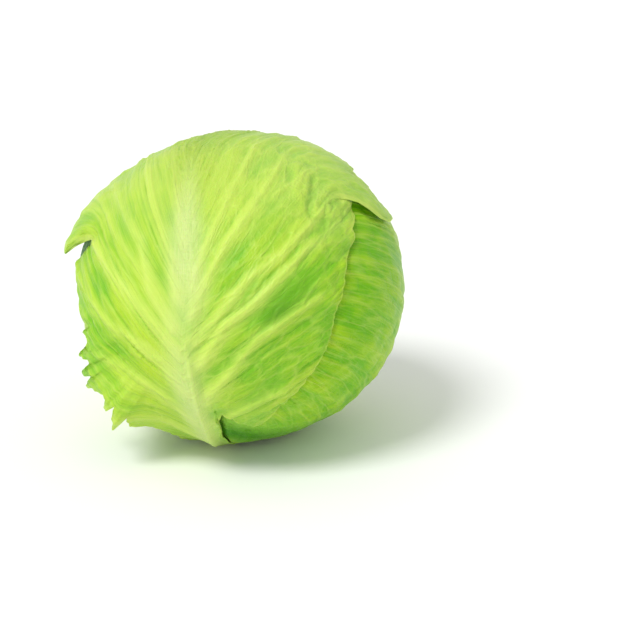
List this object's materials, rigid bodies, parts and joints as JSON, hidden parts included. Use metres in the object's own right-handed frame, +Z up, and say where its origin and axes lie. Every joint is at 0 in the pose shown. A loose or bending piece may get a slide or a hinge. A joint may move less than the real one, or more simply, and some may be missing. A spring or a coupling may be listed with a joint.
{
  "type": "iceberg lettuce",
  "caption": "Whole closed head of iceberg lettuce: cupped wrapper leaves folded round pale head leaves and a yellow heart on a cut stem.",
  "frame": {"origin": "centre of the cut face of the stem, on the surface that the head stands on", "axes": "+Z up along the stem, -Y out of the middle of the side where the outermost leaf shows its broad midrib, +X to the right of that side"},
  "size_m": [0.1625, 0.155, 0.1506],
  "materials": {
    "outer_leaf": "waxy leaf with paler raised veins",
    "inner_leaf": "pale yellow-green crisp leaf",
    "heart_leaf": "yellow folded heart leaf",
    "stem": "cream cut stem with a tan drying rim"
  },
  "bodies": {
    "root": {"stem": "stem", "wrapper_leaf_1": "outer_leaf", "wrapper_leaf_2": "outer_leaf", "wrapper_leaf_3": "outer_leaf", "wrapper_leaf_4": "outer_leaf", "wrapper_leaf_5": "outer_leaf", "wrapper_leaf_6": "outer_leaf", "wrapper_leaf_7": "outer_leaf", "head_leaf_1": "inner_leaf", "head_leaf_2": "inner_leaf", "head_leaf_3": "inner_leaf", "head_leaf_4": "inner_leaf", "head_leaf_5": "inner_leaf", "head_leaf_6": "inner_leaf", "head_leaf_7": "inner_leaf", "head_leaf_8": "inner_leaf", "heart_leaf_1": "heart_leaf", "heart_leaf_2": "heart_leaf", "heart_leaf_3": "heart_leaf", "heart_bud": "heart_leaf"}
  },
  "joints": []
}
